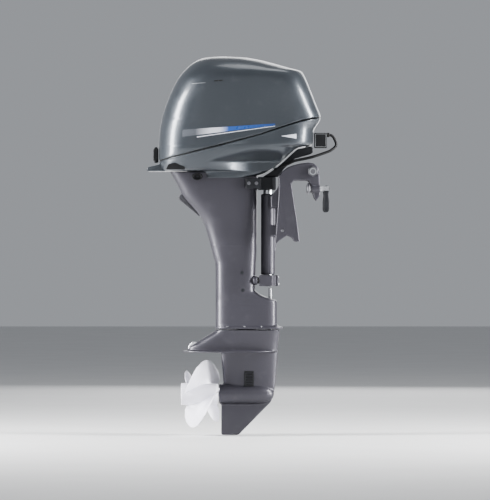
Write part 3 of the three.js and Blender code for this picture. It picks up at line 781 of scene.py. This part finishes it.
def blade(index):
    vertices = []
    rows = 44
    for r in range(rows):
        s = (len(BLADE_ROWS) - 1) * r / (rows - 1)
        radius, half, thick, rake = [part(s) for part in blade_rows]
        for k in range(2 * ACROSS):
            back = k >= ACROSS
            u = -math.cos(math.pi * (k if not back else 2 * ACROSS - k) / ACROSS)
            turn = math.radians(u * half)
            side = 0.0 if k in (0, ACROSS) else (0.5 if back else -0.5)
            fullness = 0.22 + 0.78 * math.sqrt(max(0, 1 - u * u))
            along = BLADE_X - rake + PITCH * turn / (2 * math.pi) + side * thick * fullness
            vertices.append(Vector((along, -radius * math.sin(turn), radius * math.cos(turn))) * MM)
    faces = grid_faces(rows, 2 * ACROSS)
    faces.append(tuple(range(2 * ACROSS)))
    faces.append(tuple((rows - 1) * 2 * ACROSS + i for i in range(2 * ACROSS)))
    obj = mesh_object("blade_raw", vertices, faces, prop_paint)
    obj.data.transform(Matrix.Rotation(math.radians(120 * index + 20), 4, "X"))
    obj.data.transform(Matrix.Translation((0, 0, PROP_Z * MM)))
    recalc(obj)
    return obj


hub = turned(
    "hub_raw", "x", (0, 0, PROP_Z),
    [
        (17, -269), (17, -327), (16.2, -328), (9, -328), (9, -268), (29.5, -268), (29.5, -349),
        (30.5, -352), (33.6, -352), (35, -350.5), (35, -346), (34, -322), (33.5, -300), (33.5, -244),
        (33, -238), (31.4, -234.2), (29, -233.4), (16.5, -233.4), (16.5, -238), (9, -238),
    ],
    prop_paint, 80,
)
webs = []
for i in range(3):
    web_outline = [(-322, 14), (-270, 14), (-270, 31), (-322, 31)]
    web = slab("web_raw", web_outline, "y", -2.5, 2.5, prop_paint, 2.0, 0.8)
    web.data.transform(Matrix.Rotation(math.radians(120 * i + 60), 4, "X"))
    web.data.transform(Matrix.Translation((0, 0, PROP_Z * MM)))
    webs.append(web)
propeller = joined("propeller_skin", [hub, *[blade(i) for i in range(3)], *webs], prop_paint)
for polygon in propeller.data.polygons:
    polygon.use_smooth = True
finish_piece(propeller, "prop", "propeller_paint", "propeller")

# ---- Castings and mouldings that keep their CAD shape, with every edge rounded ----
SOFTENED = {
    "clamp_bracket_starboard": (0.0014, 3),
    "clamp_bracket_port": (0.0014, 3),
    "swivel_bracket": (0.0017, 4),
    "upper_mount_bracket": (0.0014, 4),
    "lower_mount_housing": (0.0012, 4),
    "steering_arm": (0.0012, 4),
    "cable_box": (0.0010, 3),
    "carrying_grip": (0.0010, 5),
    "cowl_latch_lever": (0.0007, 4),
    "clamp_handle_starboard": (0.0007, 4),
    "clamp_handle_port": (0.0007, 4),
    "tilt_lock_lever": (0.0008, 3),
    "exhaust_outlet": (0.0006, 4),
    "anode": (0.0008, 4),
    "water_intake_starboard": (0.0006, 2),
    "water_intake_port": (0.0006, 2),
    "intake_silencer": (0.0022, 4),
    "flywheel_cover": (0.0018, 3),
    "cylinder_block": (0.0026, 3),
    "cylinder_head": (0.0022, 3),
    "engine_holder": (0.0026, 2),
}
grip_grey = moulded("grip_grey", (0.050, 0.050, 0.056))
for node, (voxel, rounds) in SOFTENED.items():
    softened(node, voxel, rounds, grip_grey if node == "carrying_grip" else None)

# CAD nodes that stay as they are take a finished material.
dull_steel = bare_metal("dull_steel", (0.20, 0.20, 0.215), 0.42, (1.0, 1.0, 6.0))
DULL = ("tilt_nut_starboard", "tilt_nut_port", "trim_pin", "clamp_pad_starboard", "clamp_pad_port")
for name, obj in frame["nodes"].items():
    obj.data.materials.clear()
    obj.data.materials.append(dull_steel if name in DULL else SLOT_LOOKS[NODE_SLOT[name]])

# ---- Decals: a plain tapering stripe on the top cowl; a small white wedge of painted highlight on the bottom cowl ----
def decal_material(name, stops, low, high):
    """Film with its colour changing along the cowl, slightly worn."""
    n = Nodes(name)
    split = n.new("ShaderNodeSeparateXYZ")
    n.link(n.place, split.inputs[0])
    span = n.new("ShaderNodeMapRange")
    span.inputs["From Min"].default_value = low * MM
    span.inputs["From Max"].default_value = high * MM
    n.link(split.outputs["X"], span.inputs["Value"])
    colour = n.ramp(span.outputs["Result"], stops)
    worn = n.mix(colour, (0.30, 0.31, 0.33), n.ramp(n.noise(140.0, 6.0), [(0.62, 0.0), (0.8, 0.5)]))
    n.link(worn, n.shader.inputs["Base Color"])
    n.link(n.ramp(n.noise(60.0, 3.0), [(0.3, 0.25), (0.7, 0.4)]), n.shader.inputs["Roughness"])
    n.bumps((n.noise(300.0, 2.0), 0.04, 0.0005))
    n.set(Coat_Weight=0.4, Coat_Roughness=0.1)
    return n.material


SILVER, WHITE, BLUE = (0.075, 0.082, 0.095), (0.52, 0.53, 0.58), (0.02, 0.075, 0.27)
stripe_film = decal_material(
    "stripe_film",
    [(0.0, SILVER), (0.14, SILVER), (0.3, WHITE), (0.4, WHITE), (0.5, BLUE), (1.0, shade(BLUE, 0.6))],
    -346, -53,
)
# White film: the stripe's printed edge line, and also the white wedge of painted highlight on the bottom cowl.
white_print_and_highlight_film = decal_material("white_print_and_highlight_film", [(0.0, WHITE), (1.0, WHITE)], -346, -53)


def film(name, top_edge, low_edge, columns, material, lift=0.35, shell=cowl):
    """A thin sheet between two lines on the side of the cowl, on both sides of the motor."""
    for side, word in SIDES:
        vertices = []
        across = 4
        for i in range(columns + 1):
            k = i / columns
            upper = Vector(top_edge[0]).lerp(Vector(top_edge[1]), k)
            lower = Vector(low_edge[0]).lerp(Vector(low_edge[1]), k)
            for j in range(across + 1):
                p = upper.lerp(lower, j / across)
                y = shell.y_at(p[0], p[1]) + lift
                vertices.append(Vector((p[0], side * y, p[1])) * MM)
        faces = grid_faces(columns + 1, across + 1, closed=False)
        obj = mesh_object(f"{name}_{word}", vertices, faces, material)
        thick = obj.modifiers.new("film", "SOLIDIFY")
        thick.thickness = 0.0002
        thick.offset = 0.0
        apply_modifiers(obj)
        split_edges(obj, 30)
        finish_piece(obj, "cover" if "stripe" in name else "motor", "cowl_paint")


# Painted light at a small recess on the top cowl: a light grey film line of painted highlight at the aft end, and a
# near-black film slit of painted shade further forward.
slit_shade_and_highlight_film = decal_material(
    "slit_shade_and_highlight_film",
    [(0.0, (0.35, 0.36, 0.38)), (0.35, (0.3, 0.31, 0.33)), (0.6, (0.004, 0.004, 0.004))],
    -317, -222,
)
film("slit_shade_painted_stripe", ((-246, 313.8), (-219, 316.0)), ((-246, 310.6), (-219, 312.4)), 6, slit_shade_and_highlight_film)
film("slit_highlight_painted_stripe", ((-317, 304.6), (-272, 307.6)), ((-317, 303.4), (-272, 306.4)), 8, slit_shade_and_highlight_film)
film("stripe", ((-346, 158), (-53, 177.5)), ((-346, 136), (-53, 171)), 40, stripe_film)
film("stripe_edge", ((-300, 136.6), (-53, 170.2)), ((-300, 133.4), (-53, 168.6)), 36, white_print_and_highlight_film)
# Painted highlight: a white wedge of film where light catches the front of the bottom cowl's side.
film("highlight_wedge", ((-33.5, 138.5), (14, 145.5)), ((-33.5, 137.6), (14, 130)), 10, white_print_and_highlight_film)

# ---- Bolts, screws and small fittings ----
def bolt(name, at, axis, radius, height, body, material=steel, sides=6, washer=True):
    """A hexagon head with a chamfered top on its washer; axis is a signed letter."""
    sign = -1 if axis[0] == "-" else 1
    rows = [(radius * 0.6, 0), (radius, 0), (radius, height * 0.75), (radius * 0.86, height), (radius * 0.3, height)]
    head = turned(name, axis[1], at, [(r, sign * h) for r, h in rows], material, sides)
    if washer:
        w = radius * 1.35
        rows = [(radius * 0.5, -0.6), (w, -0.6), (w, 0.5), (w * 0.95, 0.9), (radius * 0.5, 0.9)]
        ring = turned(name + "_washer_raw", axis[1], at, [(r, sign * h) for r, h in rows], material, 32)
        head = joined(name, [head, ring], material)
        for polygon in head.data.polygons:
            polygon.use_smooth = True
    finish_piece(head, body, "steel")
    return head


LEG_BOLTS = [(-158, -293), (-155, -349)]
for i, (x, z) in enumerate(LEG_BOLTS):
    for side, word in SIDES:
        y = casing_shell.y_at(x, z)
        at = (x, side * (y - 0.4), z)
        bolt(f"leg_bolt_{i}_{word}", at, "-y" if side < 0 else "+y", 4.2, 3.6, "motor", dark_metal)
for i, (x, z) in enumerate([(-136, -9), (-112, -9)]):
    for side, word in SIDES:
        at = (x, side * 68, z)
        bolt(f"mount_bolt_{i}_{word}", at, "-y" if side < 0 else "+y", 4.4, 3.4, "motor", dull_steel)
for i, (y, z) in enumerate([(-11, -307), (11, -307), (-11, -329), (11, -329)]):
    bolt(f"cover_bolt_{i}", (-41.6, y, z), "+x", 3.2, 2.2, "motor")
for i, x in enumerate([-205, -150, -95]):
    for side, word in SIDES:
        bolt(f"foot_bolt_{i}_{word}", (x, side * 48.6, -465.9), "+z", 3.2, 2.6, "motor", washer=False)
bolt("steering_arm_bolt", (52, 0, 106.5), "+z", 6.5, 3.0, "motor")

for side, word in SIDES:
    y = side * 94.6
    cap = turned(
        f"tilt_cap_{word}", "y", (67, y, 28),
        [(7.6, 0), (10.4, 0), (10.4, side * 2.6), (8.8, side * 3.6), (7.6, side * 3.6)], dull_steel, 32,
    )
    finish_piece(cap, "clamp", "steel")
    ridges = []
    for k in range(9):
        ridges.append(turned(
            "thread_raw", "x", (58.5 + k * 2.0, side * PLATE_MIDDLE, -26),
            [(5.6, 0), (6.25, 0.6), (6.25, 0.9), (5.6, 1.5)], steel, 24,
        ))
    thread = joined(f"clamp_thread_{word}", ridges, steel)
    finish_piece(thread, f"screw_{word}", "steel")


def tube(name, points, radius, material, body, slot, sides=14, nodes=(), steps=6):
    """A round cord through points in millimetres."""
    spline_points = [Vector(p) for p in points]
    path = []
    for i in range(len(spline_points) - 1):
        p0 = spline_points[max(i - 1, 0)]
        p1, p2 = spline_points[i], spline_points[i + 1]
        p3 = spline_points[min(i + 2, len(spline_points) - 1)]
        for k in range(steps):
            t = k / steps
            square = (2 * p0 - 5 * p1 + 4 * p2 - p3) * t * t
            cube = (3 * p1 - p0 - 3 * p2 + p3) * t**3
            path.append(0.5 * ((2 * p1) + (p2 - p0) * t + square + cube))
    path.append(spline_points[-1])
    vertices = []
    side_way = Vector((0, 1, 0))
    for i, p in enumerate(path):
        ahead = (path[min(i + 1, len(path) - 1)] - path[max(i - 1, 0)]).normalized()
        up = ahead.cross(side_way).normalized()
        side_way = up.cross(ahead).normalized()
        for k in range(sides):
            t = 2 * math.pi * k / sides
            vertices.append((p + (side_way * math.cos(t) + up * math.sin(t)) * radius) * MM)
    faces = grid_faces(len(path), sides)
    faces.append(tuple(range(sides)))
    faces.append(tuple((len(path) - 1) * sides + i for i in range(sides)))
    obj = mesh_object(name, vertices, faces, material)
    recalc(obj)
    finish_piece(obj, body, slot, *nodes)
    return obj


CABLE = [
    (121.2, -12, 145.5), (130, -12.5, 142), (138, -14, 130), (142, -17, 112), (124, -22, 95.5),
    (97, -26, 85), (68, -28, 75.6), (40, -29, 69), (11, -29, 63), (-12, -27, 53), (-33, -24, 45.5),
]
tube("control_cable_skin", CABLE, 4.5, cable_sheath, "motor", "cable_sheath", nodes=("control_cable",))
sleeve = turned(
    "cable_sleeve", "x", (113, -12, 145.5),
    [
        (5, 0), (7.2, 0), (7.2, 1.5), (6.5, 2), (7.2, 2.6), (7.2, 4), (6.5, 4.6), (7.2, 5.2),
        (7.2, 7), (5.4, 8.2), (5, 8.2),
    ],
    rubber, 32,
)
finish_piece(sleeve, "motor", "rubber")

# Thin light lines round the face of the cable box.
frame_lines = []
for outline in (
    [(75.5, 107), (110, 107), (110, 108.2), (75.5, 108.2)],
    [(75.5, 147.8), (110, 147.8), (110, 149), (75.5, 149)],
    [(75.5, 107), (76.7, 107), (76.7, 149), (75.5, 149)],
    [(108.8, 107), (110, 107), (110, 149), (108.8, 149)],
):
    for low, high in ((-23.4, -22.7), (22.7, 23.4)):
        frame_lines.append(slab("line_raw", outline, "y", low, high, alloy, 0.3, 0.0))
finish_piece(joined("cable_box_lines", frame_lines, alloy), "motor", "alloy")

# ---- Floor, lights, world ----
floor_z = cad_box[0].z - 0.002
bpy.ops.mesh.primitive_plane_add(size=40.0, location=(0, 0, floor_z))
floor = bpy.context.object
floor.name = "floor"
floor_look = Nodes("floor")
floor_look.link(
    floor_look.ramp(floor_look.noise(3.0, 3.0), [(0.3, (0.66, 0.66, 0.66)), (0.7, (0.69, 0.69, 0.69))]),
    floor_look.shader.inputs["Base Color"],
)
floor_look.set(Roughness=0.9)
floor.data.materials.append(floor_look.material)


def area_light(name, place, size, power, target=(-0.15, 0, -0.15), size_y=None):
    data = bpy.data.lights.new(name, "AREA")
    data.energy = power
    data.size = size
    if size_y:
        data.shape = "RECTANGLE"
        data.size_y = size_y
    light = bpy.data.objects.new(name, data)
    scene.collection.objects.link(light)
    light.location = place
    light.rotation_euler = (Vector(target) - Vector(place)).to_track_quat("-Z", "Y").to_euler()


area_light("bow_strip", (2.4, -0.7, 0.4), 0.6, 210, size_y=2.6)
area_light("stern_strip", (-2.7, -0.6, 0.4), 0.6, 230, size_y=2.6)
area_light("overhead", (0.3, 0.3, 3.2), 1.6, 26)
area_light("front_fill", (-0.2, -6.0, 0.6), 9.0, 120)
area_light("back_fill", (0.5, 4.5, 1.2), 3.0, 60)
world = bpy.data.worlds.new("world")
scene.world = world
world.use_nodes = True
world.node_tree.nodes["Background"].inputs["Color"].default_value = (0.82, 0.85, 0.90, 1.0)
world.node_tree.nodes["Background"].inputs["Strength"].default_value = 0.36
scene.view_settings.view_transform = "AgX"
scene.view_settings.look = "AgX - Medium High Contrast"
